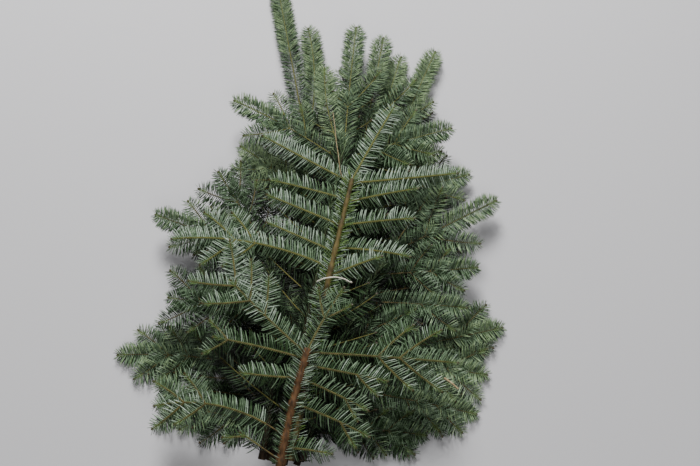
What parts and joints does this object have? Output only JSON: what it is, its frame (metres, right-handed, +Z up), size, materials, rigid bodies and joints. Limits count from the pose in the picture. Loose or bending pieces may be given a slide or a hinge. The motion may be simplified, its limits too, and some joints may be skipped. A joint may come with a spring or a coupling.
{
  "type": "tied bunch of cut noble fir boughs",
  "caption": "Bunch of cut blue noble fir boughs lying on its back, stems gathered at the butts, flat needle sprays fanned out above them and tied with a string.",
  "frame": {"origin": "the point on the ground under the middle of the bunch's box", "axes": "+Y towards the tips, along the bunch; +Z up, from the ground through the heap of boughs; +X to the right seen from above with the tips at the top"},
  "size_m": [0.6874, 0.9306, 0.1126],
  "materials": {
    "bark": "ridged brown-orange young bark, matt",
    "front_needles": "waxy blue-grey needles, undersides up, satin",
    "back_needles": "waxy green-grey needles, upper sides, satin",
    "string": "pale twisted twine, matt"
  },
  "bodies": {
    "root": {"left_lower_stem": "bark", "left_lower_spray_left_1": "back_needles", "left_lower_spray_tip": "back_needles", "right_lower_stem": "bark", "right_lower_spray_right_1": "back_needles", "right_lower_spray_right_2": "back_needles", "right_lower_spray_right_3": "back_needles", "right_lower_spray_tip": "back_needles", "crown_left_stem": "bark", "crown_left_spray_left_1": "back_needles", "crown_left_spray_right_1": "back_needles", "crown_left_spray_tip": "back_needles", "crown_right_stem": "bark", "crown_right_spray_left_1": "back_needles", "crown_right_spray_right_1": "back_needles", "crown_right_spray_tip": "back_needles", "crown_back_stem": "bark", "crown_back_spray_right_1": "back_needles", "crown_back_spray_tip": "back_needles", "left_upper_stem": "bark", "left_upper_spray_left_1": "back_needles", "left_upper_spray_left_2": "back_needles", "left_upper_spray_right_1": "back_needles", "left_upper_spray_tip": "back_needles", "right_upper_stem": "bark", "right_upper_spray_right_1": "back_needles", "right_upper_spray_right_2": "back_needles", "right_upper_spray_right_3": "back_needles", "right_upper_spray_right_4": "back_needles", "right_upper_spray_tip": "back_needles", "crown_middle_stem": "bark", "crown_middle_spray_left_1": "back_needles", "crown_middle_spray_left_2": "back_needles", "crown_middle_spray_right_1": "back_needles", "crown_middle_spray_tip": "back_needles", "front_upper_stem": "bark", "front_upper_spray_left_1": "front_needles", "front_upper_spray_left_2": "front_needles", "front_upper_spray_left_3": "front_needles", "front_upper_spray_left_4": "front_needles", "front_upper_spray_left_5": "front_needles", "front_upper_spray_right_1": "front_needles", "front_upper_spray_right_2": "front_needles", "front_upper_spray_right_3": "front_needles", "front_upper_spray_right_4": "front_needles", "front_upper_spray_right_5": "front_needles", "front_upper_spray_tip": "front_needles", "front_lower_stem": "bark", "front_lower_spray_left_1": "front_needles", "front_lower_spray_left_2": "front_needles", "front_lower_spray_left_3": "front_needles", "front_lower_spray_left_4": "front_needles", "front_lower_spray_left_5": "front_needles", "front_lower_spray_right_1": "front_needles", "front_lower_spray_right_2": "front_needles", "front_lower_spray_right_3": "front_needles", "front_lower_spray_right_4": "front_needles", "front_lower_spray_right_5": "front_needles", "front_lower_spray_tip": "front_needles", "string_tie": "string"}
  },
  "joints": []
}
